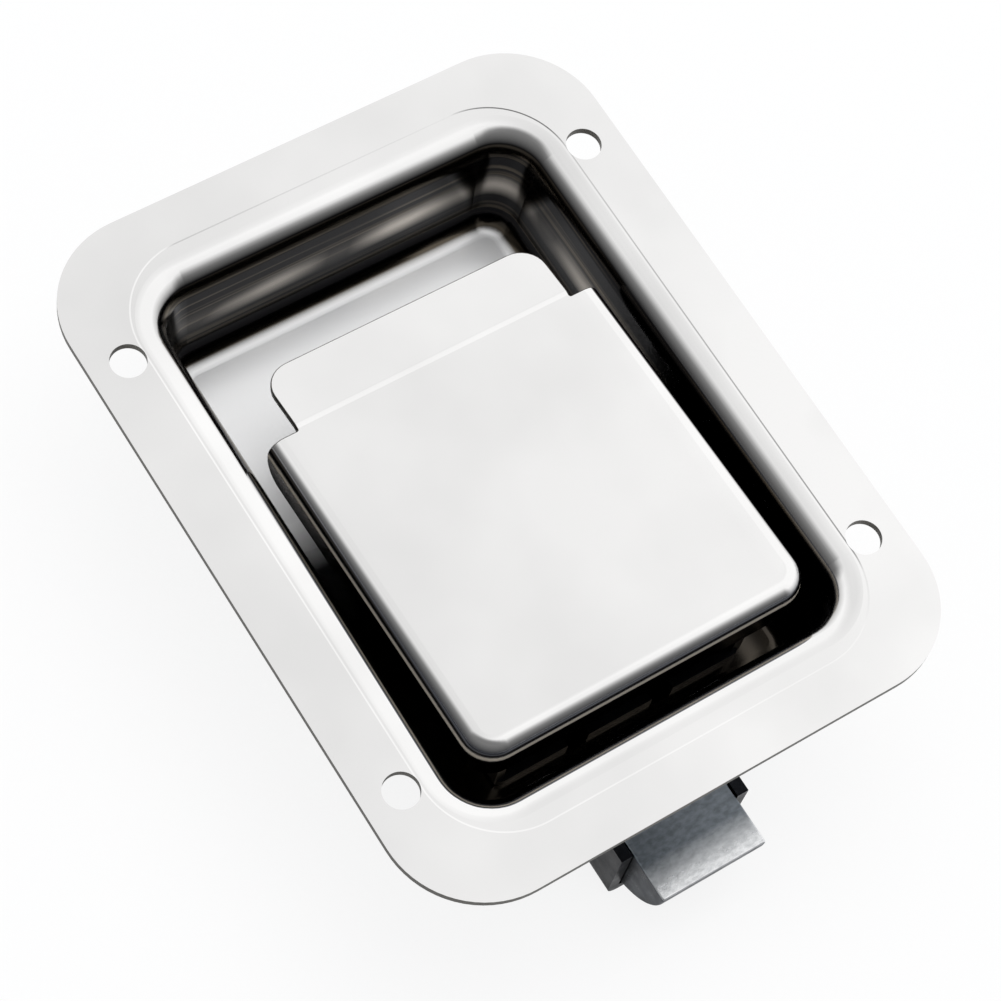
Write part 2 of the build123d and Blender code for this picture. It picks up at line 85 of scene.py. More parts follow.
@dataclass(frozen=True)
class Finish:
    """One metal finish and the sizes of its marks.

    Attributes:
        name: Name of the material.
        colour: Base colour of the clean metal, linear.
        roughness: Roughness of the clean metal.
        spread: How far roughness wanders from place to place.
        grain: How the surface is worked.
        cloud_mm: Size of the slow changes of tone.
        mark_mm: Size of the fine marks.
        depth_mm: Height of the fine marks.
        stain: Share by which the darkest clouds are darker.
    """

    name: str
    colour: Colour
    roughness: float
    spread: float
    grain: Grain
    cloud_mm: float
    mark_mm: float
    depth_mm: float
    stain: float

    def material(self) -> bpy.types.Material:
        """Build the node material.

        Returns:
            The new material.
        """
        made = bpy.data.materials.new(self.name)
        made.use_nodes = True
        board = Board(made.node_tree)
        inputs = board.shader.inputs
        inputs["Metallic"].default_value = 1.0
        place = board.node("TexCoord").outputs["Object"]
        cloud = board.noise(place, self.cloud_mm, detail=3.0)
        stained = tuple(c * (1 - self.stain) for c in self.colour)
        tone = board.mix(board.ranged(cloud, 0.35, 0.62, 0.0, 1.0), stained, self.colour)
        board.link(tone, inputs["Base Color"])
        low, high = max(self.roughness - self.spread, 0.01), self.roughness + self.spread
        wander = board.noise(place, self.cloud_mm * 0.6, detail=5.0, shift=7.0)
        board.link(board.ranged(wander, 0.3, 0.7, low, high), inputs["Roughness"])
        board.link(self.relief(board, place), inputs["Normal"])
        made.diffuse_color = (*self.colour, 1.0)
        return made

    def relief(self, board: "Board", place: Socket) -> Socket:
        """Add the bump nodes of this grain.

        Args:
            board: Board of the material.
            place: The point in object space.

        Returns:
            The normal.
        """
        stretch = (1.0, 14.0, 14.0) if self.grain is Grain.TURNED else (1.0, 1.0, 1.0)
        marks = board.noise(place, self.mark_mm, detail=4.0, stretch=stretch)
        fine = board.node("Bump")
        fine.inputs["Strength"].default_value = 1.0
        fine.inputs["Distance"].default_value = self.depth_mm * MM
        board.link(marks, fine.inputs["Height"])
        return fine.outputs["Normal"]


class Board:
    """Adds nodes to one node tree; values go from node to node as sockets."""

    def __init__(self, tree: bpy.types.NodeTree) -> None:
        """Take up a tree.

        Args:
            tree: The node tree.
        """
        self.nodes, self.links = tree.nodes, tree.links

    @property
    def shader(self) -> bpy.types.Node:
        """The metal shader of a material's tree."""
        return self.nodes["Principled BSDF"]

    def node(self, kind: str) -> bpy.types.Node:
        """Add a node.

        Args:
            kind: Its type, without the leading ShaderNode.

        Returns:
            The node.
        """
        return self.nodes.new(f"ShaderNode{kind}")

    def link(self, value: Socket, target: Socket) -> None:
        """Link a value to an input.

        Args:
            value: The value.
            target: The input.
        """
        self.links.new(value, target)

    def noise(self, place: Socket, size_mm: float, detail: float, shift: float = 0.0,
              stretch: Corner = (1.0, 1.0, 1.0)) -> Socket:
        """Add a noise texture whose features have a size in millimetres.

        Args:
            place: The point in object space.
            size_mm: Size of the features.
            detail: Number of finer octaves.
            shift: Offset that tells two textures apart, in millimetres.
            stretch: How many times smaller the features are along each axis.

        Returns:
            The height, from 0 to 1.
        """
        mapping = self.node("Mapping")
        mapping.inputs["Location"].default_value = (shift * MM,) * 3
        mapping.inputs["Scale"].default_value = stretch
        texture = self.node("TexNoise")
        texture.inputs["Scale"].default_value = 1.0 / (size_mm * MM)
        texture.inputs["Detail"].default_value = detail
        self.link(place, mapping.inputs["Vector"])
        self.link(mapping.outputs["Vector"], texture.inputs["Vector"])
        return texture.outputs["Fac"]

    def ranged(self, value: Socket, low: float, high: float, out_low: float,
               out_high: float) -> Socket:
        """Map a value from one range to another, clamped.

        Args:
            value: The value.
            low: Value that gives `out_low`.
            high: Value that gives `out_high`.
            out_low: Result at the low end.
            out_high: Result at the high end.

        Returns:
            The mapped value.
        """
        node = self.node("MapRange")
        for name, number in (("From Min", low), ("From Max", high),
                             ("To Min", out_low), ("To Max", out_high)):
            node.inputs[name].default_value = number
        self.link(value, node.inputs["Value"])
        return node.outputs["Result"]

    def sums(self, operation: str, first: Socket, second: Socket | float = 0.0) -> Socket:
        """Add one Math node.

        Args:
            operation: Name of the operation.
            first: First value.
            second: Second value, or a number.

        Returns:
            The result.
        """
        node = self.node("Math")
        node.operation = operation
        self.link(first, node.inputs[0])
        if isinstance(second, float):
            node.inputs[1].default_value = second
        else:
            self.link(second, node.inputs[1])
        return node.outputs[0]

    def rest(self, mask: Socket) -> Socket:
        """Turn a mask round.

        Args:
            mask: The mask.

        Returns:
            What it leaves of 1.
        """
        node = self.node("Math")
        node.operation = "SUBTRACT"
        node.inputs[0].default_value = 1.0
        self.link(mask, node.inputs[1])
        return node.outputs[0]

    def parts(self, vector: Socket) -> bpy.types.NodeOutputs:
        """Take a vector apart.

        Args:
            vector: The vector.

        Returns:
            Its X, Y and Z by name.
        """
        node = self.node("SeparateXYZ")
        self.link(vector, node.inputs[0])
        return node.outputs

    def split(self, vector: Socket) -> tuple[Socket, ...]:
        """Take a vector apart and drop the signs.

        Args:
            vector: The vector.

        Returns:
            The absolute x, y and z.
        """
        parts = self.parts(vector)
        return tuple(self.sums("ABSOLUTE", parts[name]) for name in "XYZ")

    def dot(self, first: Socket, second: Socket | Corner) -> Socket:
        """Add the dot product of two vectors.

        Args:
            first: First vector.
            second: Second vector, or a fixed one.

        Returns:
            The product.
        """
        node = self.node("VectorMath")
        node.operation = "DOT_PRODUCT"
        self.link(first, node.inputs[0])
        if isinstance(second, tuple):
            node.inputs[1].default_value = second
        else:
            self.link(second, node.inputs[1])
        return node.outputs["Value"]

    def mix(self, share: Socket, first: Socket | Colour, second: Socket | Colour) -> Socket:
        """Mix two colours.

        Args:
            share: Share of the second colour.
            first: First colour.
            second: Second colour.

        Returns:
            The mixed colour.
        """
        node = self.node("Mix")
        node.data_type = "RGBA"
        self.link(share, node.inputs["Factor"])
        for name, colour in (("A", first), ("B", second)):
            if isinstance(colour, tuple):
                node.inputs[name].default_value = (*colour, 1.0)
            else:
                self.link(colour, node.inputs[name])
        return node.outputs["Result"]

    def overlay(self, mask: Socket, colour: Socket | Colour, roughness: float) -> None:
        """Lay another finish over a material where a mask is 1.

        Args:
            mask: Share of the new finish.
            colour: Colour of the new finish.
            roughness: Roughness of the new finish.
        """
        inputs = self.shader.inputs
        below = inputs["Base Color"].links[0].from_socket
        self.link(self.mix(mask, below, colour), inputs["Base Color"])
        rough = self.node("Mix")
        self.link(mask, rough.inputs["Factor"])
        self.link(inputs["Roughness"].links[0].from_socket, rough.inputs["A"])
        rough.inputs["B"].default_value = roughness
        self.link(rough.outputs["Result"], inputs["Roughness"])


@dataclass(frozen=True)
class PanFinish(Finish):
    """Buffed sheet with painted shade and painted reflections on its drawn walls, and sheared
    edges.

    Attributes:
        bend_half: Half width and half length inside which the sheet turns down, in millimetres.
        wall_shade_paint: Painted shade, the near-black colour of the drawn walls.
        wall_reflection_paint: Colour of the painted reflection streaks in the walls.
        wall_roughness: Roughness of the drawn walls.
        edge_colour_and_shade: Colour of the sheared edges, rough metal painted dark as shade.
        edge_roughness: Roughness of the sheared edges.
        crease_half: Half width and half length of the pressed line round the bend.
        crease_corner: Corner radius of that line.
        crease_depth: Height of the step at that line.
        crease_width: Width of the step.
        streak_height: Height of the painted highlight, a brighter streak along the walls.
        streak_half: Half width of that streak.
        painted_highlight_colour: Colour of that painted highlight.
        floor_from: Height below which the sheet is the well's floor and its bend.
        floor_roughness: Roughness of the well's floor.
        floor_metal: How metallic the satin floor of the finger pocket is.
        pocket_from: Place along Y where the floor's painted shade fades into the finger
            pocket's satin floor.
        pocket_to: Place along Y where it is complete.
        bent_normals: Upward parts of the normal where a wall starts and is complete.
        floor_normals: The same for the bend between the walls and the floor.
        reflection_streak_mm: Length of the painted reflection streaks.
        wall_stretch: How many times smaller they are along each axis.
        floor_colour: Colour of the well's floor.
        streak_gap_mm: Size of the breaks in the painted highlight.
        streak_roughness: Roughness of that streak.
    """

    bend_half: tuple[float, float] = (34.35, 46.55)
    wall_shade_paint: Colour = (0.016, 0.0155, 0.017)
    wall_reflection_paint: Colour = (0.20, 0.17, 0.13)
    wall_roughness: float = 0.16
    edge_colour_and_shade: Colour = (0.10, 0.095, 0.085)
    edge_roughness: float = 0.45
    crease_half: tuple[float, float] = (34.6, 48.4)
    crease_corner: float = 12.0
    crease_depth: float = 0.12
    crease_width: float = 0.22
    streak_height: float = -9.5
    streak_half: float = 2.6
    painted_highlight_colour: Colour = (0.62, 0.57, 0.51)
    floor_from: float = -8.0
    floor_roughness: float = 0.24
    floor_metal: float = 0.35
    pocket_from: float = 3.0
    pocket_to: float = 11.0
    bent_normals: tuple[float, float] = (0.86, 0.60)
    floor_normals: tuple[float, float] = (0.985, 0.86)
    reflection_streak_mm: float = 30.0
    wall_stretch: Corner = (0.25, 0.25, 26.0)
    floor_colour: Colour = (0.9, 0.9, 0.9)
    streak_gap_mm: float = 22.0
    streak_roughness: float = 0.2

    def material(self) -> bpy.types.Material:
        """Build the node material.

        Returns:
            The new material.
        """
        made = super().material()
        board = Board(made.node_tree)
        where = board.node("TexCoord").outputs
        x, y, down = board.split(where["Object"])
        upright = board.split(where["Normal"])[2]
        bent = board.ranged(upright, *self.bent_normals, 0.0, 1.0)
        low = board.sums("GREATER_THAN", down, -self.floor_from * MM)
        low_bend = board.ranged(upright, *self.floor_normals, 0.0, 1.0)
        steep = board.sums("MAXIMUM", bent, board.sums("MULTIPLY", low, low_bend))
        within = board.sums("MINIMUM",
                            board.sums("LESS_THAN", x, self.bend_half[0] * MM),
                            board.sums("LESS_THAN", y, self.bend_half[1] * MM))
        edges = board.sums("MULTIPLY", bent, board.sums("LESS_THAN", within, 0.5))
        outward = board.dot(where["Object"], where["Normal"])
        inside = board.sums("MULTIPLY", within, board.sums("LESS_THAN", outward, 0.0))
        floor = board.sums("MULTIPLY", low, inside)
        # Painted shade: the well's floor away from the finger pocket is painted as dark as the
        # walls.
        pocket = board.ranged(board.parts(where["Object"])["Y"], self.pocket_from * MM,
                              self.pocket_to * MM, 0.0, 1.0)
        shaded = board.sums("MULTIPLY", floor, board.rest(pocket))
        # Painted shade: mask of the steep drawn walls and of the floor away from the pocket,
        # painted near black.
        walls = board.sums("MAXIMUM", board.sums("MULTIPLY", steep, inside), shaded)
        # Painted reflections: long light streaks laid into the painted shade of the walls.
        drawn = board.noise(where["Object"], self.reflection_streak_mm, detail=4.0, shift=3.0,
                            stretch=self.wall_stretch)
        wall = board.mix(board.ranged(drawn, 0.52, 0.72, 0.0, 1.0), self.wall_shade_paint,
                         self.wall_reflection_paint)
        board.overlay(floor, self.floor_colour, self.floor_roughness)
        satin = board.sums("MULTIPLY", floor, board.rest(walls))
        board.link(board.ranged(satin, 0.0, 1.0, 1.0, self.floor_metal),
                   board.shader.inputs["Metallic"])
        board.overlay(walls, wall, self.wall_roughness)
        # Painted highlight: a lighter band along the walls at a fixed height, broken up by
        # noise.
        off = board.sums("ABSOLUTE", board.sums("ADD", down, self.streak_height * MM))
        band = board.ranged(off, 0.3 * MM, self.streak_half * MM, 1.0, 0.0)
        along = board.noise(where["Object"], self.streak_gap_mm, detail=1.0, shift=16.0)
        streak = board.sums("MULTIPLY", band, board.ranged(along, 0.42, 0.60, 0.10, 1.0))
        board.overlay(board.sums("MULTIPLY", streak, walls), self.painted_highlight_colour,
                      self.streak_roughness)
        # Sheared edges: rough metal, painted dark as shade.
        board.overlay(edges, self.edge_colour_and_shade, self.edge_roughness)
        self.press(board, x, y)
        return made

    def press(self, board: Board, x: Socket, y: Socket) -> None:
        """Add the shallow pressed line round the bend.

        Args:
            board: Board of the material.
            x: Distance from the middle plane.
            y: Distance from the cross plane.
        """
        past = []
        for way, half in ((x, self.crease_half[0]), (y, self.crease_half[1])):
            beyond = board.sums("SUBTRACT", way, (half - self.crease_corner) * MM)
            past.append(board.sums("POWER", board.sums("MAXIMUM", beyond, 0.0), 2.0))
        reach = board.sums("POWER", board.sums("ADD", *past), 0.5)
        corner = self.crease_corner * MM
        rise = board.ranged(reach, corner, corner + self.crease_width * MM, 0.0, 1.0)
        step = board.node("Bump")
        step.inputs["Distance"].default_value = self.crease_depth * MM
        normal = board.shader.inputs["Normal"]
        board.link(rise, step.inputs["Height"])
        board.link(normal.links[0].from_socket, step.inputs["Normal"])
        board.link(step.outputs["Normal"], normal)


@dataclass(frozen=True)
class TipLitFinish(Finish):
    """Zinc plating with painted light: a lighter top face that turns bright towards the tip as
    a painted reflection.

    Attributes:
        lit_from: Place along Y where the painted reflection starts, in millimetres.
        lit_to: Place along Y where it is complete.
        plated: Colour of the plating on the face that looks up, lighter than the sides as
            painted light.
        bright: Colour of the painted reflection at the tip.
        fleck_mm: Size of the flecks in the plating and in the painted reflection.
        fleck_stretch: How many times smaller they are along each axis.
        plated_roughness: Roughness of the plating on that face.
        bright_roughness: Roughness where the painted reflection is.
    """

    lit_from: float = -55.5
    lit_to: float = -60.2
    plated: Colour = (0.24, 0.27, 0.30)
    bright: Colour = (0.92, 0.93, 0.94)
    fleck_mm: float = 0.9
    fleck_stretch: Corner = (0.8, 1.4, 1.0)
    plated_roughness: float = 0.34
    bright_roughness: float = 0.24

    def material(self) -> bpy.types.Material:
        """Build the node material.

        Returns:
            The new material.
        """
        made = super().material()
        board = Board(made.node_tree)
        where = board.node("TexCoord").outputs
        # Painted reflection: the face that looks up turns bright towards the tip.
        tip_light = board.ranged(board.parts(where["Object"])["Y"], self.lit_from * MM,
                            self.lit_to * MM, 0.0, 1.0)
        flecks = board.noise(where["Object"], self.fleck_mm, detail=8.0, shift=5.0,
                             stretch=self.fleck_stretch)
        share = board.sums("MULTIPLY", tip_light, board.ranged(flecks, 0.30, 0.62, 0.72, 1.0))
        # Painted light: the face that looks up gets a lighter plating colour than the sides.
        top = board.ranged(board.parts(where["Normal"])["Z"], 0.3, 0.8, 0.0, 1.0)
        clean = board.ranged(flecks, 0.35, 0.65, 0.62, 1.0)
        board.overlay(board.sums("MULTIPLY", top, clean), self.plated, self.plated_roughness)
        board.overlay(board.sums("MULTIPLY", share, top), self.bright, self.bright_roughness)
        return made


@dataclass(frozen=True)
class FoldedFinish(Finish):
    """Buffed sheet whose folded sides are painted dark as shade, with a painted highlight
    stripe.

    Attributes:
        fold_shade: Painted shade, the dark colour of the folded sides.
        fold_roughness: Roughness of the folded sides.
        stripe_highlight: Colour of the painted highlight, a stripe along the folded sides.
        stripe_depth: Depth of the stripe below the face.
        stripe_half: Half width of the stripe.
        stripe_metal: How metallic the stripe is.
        stripe_roughness: Roughness of the stripe.
        fold_normals: Upward parts of the normal where a fold starts and is complete.
        face_way: Normal of the face.
        face_height: Height of the face along its normal, from the part's origin.
    """

    fold_shade: Colour = (0.10, 0.105, 0.12)
    fold_roughness: float = 0.14
    stripe_highlight: Colour = (0.80, 0.72, 0.60)
    stripe_depth: float = 2.5
    stripe_half: float = 0.75
    stripe_metal: float = 0.2
    stripe_roughness: float = 0.45
    fold_normals: tuple[float, float] = (0.86, 0.55)
    face_way: Corner = (0.0, 0.05234, 0.99863)
    face_height: float = 1.364

    def material(self) -> bpy.types.Material:
        """Build the node material.

        Returns:
            The new material.
        """
        made = super().material()
        board = Board(made.node_tree)
        where = board.node("TexCoord").outputs
        upright = board.split(where["Normal"])[2]
        # Painted shade: the folded sides are painted dark.
        board.overlay(board.ranged(upright, *self.fold_normals, 0.0, 1.0),
                      self.fold_shade, self.fold_roughness)
        height = board.dot(where["Object"], self.face_way)
        off = board.sums("ABSOLUTE", board.sums(
            "SUBTRACT", height, (self.face_height - self.stripe_depth) * MM))
        # Painted highlight: a lighter, less metallic stripe along the folded sides.
        stripe = board.sums("MULTIPLY",
                            board.ranged(off, 0.2 * MM, self.stripe_half * MM, 1.0, 0.0),
                            board.ranged(upright, 0.5, 0.3, 0.0, 1.0))
        board.overlay(stripe, self.stripe_highlight, self.stripe_roughness)
        board.link(board.ranged(stripe, 0.0, 1.0, 1.0, self.stripe_metal),
                   board.shader.inputs["Metallic"])
        return made


PADDLE_STEEL = FoldedFinish("polished_stainless", (0.91, 0.905, 0.90), 0.06, 0.03, Grain.MIRROR,
                            cloud_mm=28.0, mark_mm=16.0, depth_mm=0.003, stain=0.07)
PAN_STEEL = PanFinish("pan_stainless", (0.91, 0.905, 0.90), 0.06, 0.03, Grain.MIRROR,
                      cloud_mm=28.0, mark_mm=16.0, depth_mm=0.003, stain=0.08)
# Sheared edges: rough metal, painted dark as shade.
SHEARED_AND_SHADED = Finish("sheared_edge_and_shade", (0.10, 0.095, 0.085), 0.42, 0.08, Grain.PLATED,
                 cloud_mm=3.0, mark_mm=0.5, depth_mm=0.01, stain=0.3)
# Zinc plating made near black as painted shade on the lever, bracket and housing under the pan.
DARK_ZINC_AND_SHADE = Finish("dark_zinc_and_shade", (0.016, 0.017, 0.020), 0.36, 0.08, Grain.PLATED,
                   cloud_mm=6.0, mark_mm=1.6, depth_mm=0.02, stain=0.35)
ZINC_BOLT = TipLitFinish("zinc_bolt", (0.055, 0.062, 0.072), 0.34, 0.08, Grain.PLATED,
                       cloud_mm=3.0, mark_mm=0.8, depth_mm=0.02, stain=0.45)
PIN_STEEL = Finish("steel_pin", (0.62, 0.62, 0.60), 0.22, 0.05, Grain.TURNED,
                   cloud_mm=5.0, mark_mm=1.5, depth_mm=0.006, stain=0.12)
RIVET_STEEL = Finish("steel_rivet", (0.60, 0.61, 0.61), 0.30, 0.06, Grain.PLATED,
                     cloud_mm=3.0, mark_mm=0.9, depth_mm=0.012, stain=0.18)
SPRING = Finish("spring_steel", (0.50, 0.50, 0.50), 0.24, 0.06, Grain.TURNED,
                cloud_mm=3.0, mark_mm=0.8, depth_mm=0.006, stain=0.20)
BLACK_RING = Finish("black_ring", (0.045, 0.045, 0.05), 0.38, 0.08, Grain.BLACKED,
                    cloud_mm=2.5, mark_mm=0.6, depth_mm=0.008, stain=0.30)
WASHER = Finish("washer_steel", (0.58, 0.60, 0.61), 0.30, 0.06, Grain.TURNED,
                cloud_mm=3.0, mark_mm=0.9, depth_mm=0.008, stain=0.15)

NODE_FINISHES = {
    "pan": PAN_STEEL,
    "paddle_lever": DARK_ZINC_AND_SHADE, "hinge_bracket": DARK_ZINC_AND_SHADE, "bolt_housing": DARK_ZINC_AND_SHADE,
    "pivot_pin": PIN_STEEL, "bolt_drive_pin": PIN_STEEL, "bolt_rod": PIN_STEEL,
    "pivot_ring": BLACK_RING, "bolt_rod_ring": BLACK_RING,
    "spring_washer_front": WASHER, "spring_washer_rear": WASHER,
}


class FinishShop:
    """Makes each finish once and puts it on pieces."""

    def __init__(self) -> None:
        """Start with no material made."""
        self.made: dict[str, bpy.types.Material] = {}

    def material(self, finish: Finish) -> bpy.types.Material:
        """Give the one material of a finish.

        Args:
            finish: The finish asked for.

        Returns:
            Its material, made on the first call.
        """
        if finish.name not in self.made:
            self.made[finish.name] = finish.material()
        return self.made[finish.name]

    def dress(self, piece: bpy.types.Object, *finishes: Finish) -> None:
        """Give a piece its finishes, one for each of its slots, or one all over.

        Args:
            piece: The piece.
            finishes: Its finishes, in the order of its slots.
        """
        while len(piece.material_slots) < len(finishes):
            piece.data.materials.append(None)
        for number, held in enumerate(piece.material_slots):
            held.link = "OBJECT"
            held.material = self.material(finishes[min(number, len(finishes) - 1)])


class Bench:
    """One new piece, shaped with modelling operators.

    Lengths are in millimetres and places are in the part's frame.
    """

    def __init__(self, name: str) -> None:
        """Start a piece.

        Args:
            name: Name of the finished object.
        """
        self.name = name
        self.piece: bpy.types.Object | None = None

    def take(self) -> None:
        """Put the primitive that was just added on the bench, and join it to what is there."""
        added = bpy.context.active_object
        bpy.ops.object.transform_apply(location=True, rotation=True, scale=True)
        if self.piece is not None:
            self.piece.select_set(True)
            bpy.context.view_layer.objects.active = self.piece
            bpy.ops.object.join()
        else:
            self.piece = added
            added.name = added.data.name = self.name
        deselect()

    def hold(self) -> None:
        """Select the piece alone and make it active."""
        deselect()
        self.piece.select_set(True)
        bpy.context.view_layer.objects.active = self.piece

    def box(self, low: Corner, high: Corner) -> None:
        """Add a box.

        Args:
            low: Its lowest corner.
            high: Its highest corner.
        """
        deselect()
        middle = [(a + b) / 2 * MM for a, b in zip(low, high)]
        bpy.ops.mesh.primitive_cube_add(size=1.0, location=middle)
        bpy.context.active_object.scale = [(b - a) * MM for a, b in zip(low, high)]
        self.take()

    def cylinder(self, radius: float, length: float, middle: Corner, turn: Corner,
                 sides: int = 48) -> None:
        """Add a cylinder.

        Args:
            radius: Its radius.
            length: Its length.
            middle: Its middle.
            turn: Turn about X, Y and Z, in degrees, from an axis along Z.
            sides: Number of its sides.
        """
        deselect()
        bpy.ops.mesh.primitive_cylinder_add(
            vertices=sides, radius=radius * MM, depth=length * MM,
            location=[c * MM for c in middle], rotation=[math.radians(a) for a in turn])
        self.take()

    def begin(self, mode: str = "FACE") -> None:
        """Enter edit mode with nothing selected.

        Args:
            mode: What is selected: VERT, EDGE or FACE.
        """
        self.hold()
        bpy.ops.object.mode_set(mode="EDIT")
        bpy.ops.mesh.select_mode(type=mode)
        bpy.ops.mesh.select_all(action="DESELECT")

    def end(self) -> None:
        """Leave edit mode."""
        bpy.ops.object.mode_set(mode="OBJECT")
        deselect()

    def pick(self, mode: str, wanted: Callable[..., bool]) -> None:
        """Select what a test wants; the piece is in edit mode.

        Args:
            mode: VERT, EDGE or FACE.
            wanted: Test on a vertex's place, on an edge's two places, or on a face's
                middle and normal.
        """
        bpy.ops.mesh.select_mode(type=mode)
        bpy.ops.mesh.select_all(action="DESELECT")
        mesh = bmesh.from_edit_mesh(self.piece.data)
        if mode == "FACE":
            found = [f for f in mesh.faces
                     if wanted(f.calc_center_median() / MM, f.normal)]
        elif mode == "EDGE":
            found = [e for e in mesh.edges
                     if wanted(e.verts[0].co / MM, e.verts[1].co / MM)]
        else:
            found = [v for v in mesh.verts if wanted(v.co / MM)]
        for part in found:
            part.select_set(True)
        mesh.select_flush_mode()
        bmesh.update_edit_mesh(self.piece.data)

    def slice(self, place: Corner, normal: Corner, drop: bool, close: bool) -> None:
        """Bisect the whole piece by a plane; the piece is in edit mode.

        Args:
            place: A point of the plane.
            normal: Its normal.
            drop: Whether the side that the normal points to goes.
            close: Whether the cut is closed with a face.
        """
        bpy.ops.mesh.select_all(action="SELECT")
        bpy.ops.mesh.bisect(plane_co=[c * MM for c in place], plane_no=normal,
                            clear_outer=drop, use_fill=close)

    def modify(self, kind: str, **settings: object) -> None:
        """Add a modifier and apply it.

        Args:
            kind: Type of the modifier.
            settings: Its settings, with lengths in metres.
        """
        self.hold()
        bpy.ops.object.modifier_add(type=kind)
        added = self.piece.modifiers[-1]
        for name, value in settings.items():
            setattr(added, name, value)
        bpy.ops.object.modifier_apply(modifier=added.name)
        deselect()

    def cut(self, cutter: "Bench") -> None:
        """Cut another bench's piece out of this one.

        Args:
            cutter: Bench that holds the cutter, which is used up.
        """
        self.modify("BOOLEAN", operation="DIFFERENCE", object=cutter.piece, solver="EXACT")
        bpy.data.objects.remove(cutter.piece, do_unlink=True)

    def break_edges(self, width: float, segments: int = 2, angle: float = 35.0,
                    material: int = -1) -> None:
        """Round every edge that is sharper than an angle.

        Args:
            width: Width of the rounding.
            segments: Steps across it.
            angle: Angle in degrees.
            material: Slot of the rounding, or -1 for that of its neighbours.
        """
        self.modify("BEVEL", width=width * MM, segments=segments, limit_method="ANGLE",
                    angle_limit=math.radians(angle), miter_outer="MITER_ARC",
                    material=material, use_clamp_overlap=True)

    def smooth(self, angle: float = 35.0) -> None:
        """Shade smooth below an angle, flat faces staying flat.

        Args:
            angle: Angle in degrees.
        """
        self.hold()
        bpy.ops.object.shade_smooth_by_angle(angle=math.radians(angle))
        self.modify("WEIGHTED_NORMAL", keep_sharp=True, weight=80)

    def set_down(self, tilt: float, place: Corner) -> None:
        """Turn the piece about X and move it, leaving its object at the origin.

        Args:
            tilt: Turn about X in degrees.
            place: Where the piece's own origin goes.
        """
        self.hold()
        self.piece.rotation_euler = (math.radians(tilt), 0.0, 0.0)
        self.piece.location = [c * MM for c in place]
        bpy.ops.object.transform_apply(location=True, rotation=True, scale=True)
        deselect()

    def tidy_mesh(self) -> None:
        """Merge doubled points and point all faces outwards."""
        self.begin("VERT")
        bpy.ops.mesh.select_all(action="SELECT")
        bpy.ops.mesh.remove_doubles(threshold=0.002 * MM)
        bpy.ops.mesh.normals_make_consistent(inside=False)
        self.end()

    def hand_over(self, body: str, slot: str, *nodes: str) -> bpy.types.Object:
        """Parent the piece to its body's empty and hide the nodes that it replaces.

        Args:
            body: The body that carries it.
            slot: Its material slot in the record; not used.
            nodes: The nodes that it replaces.

        Returns:
            The finished object.
        """
        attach(self.piece, body)
        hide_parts(*nodes)
        return self.piece


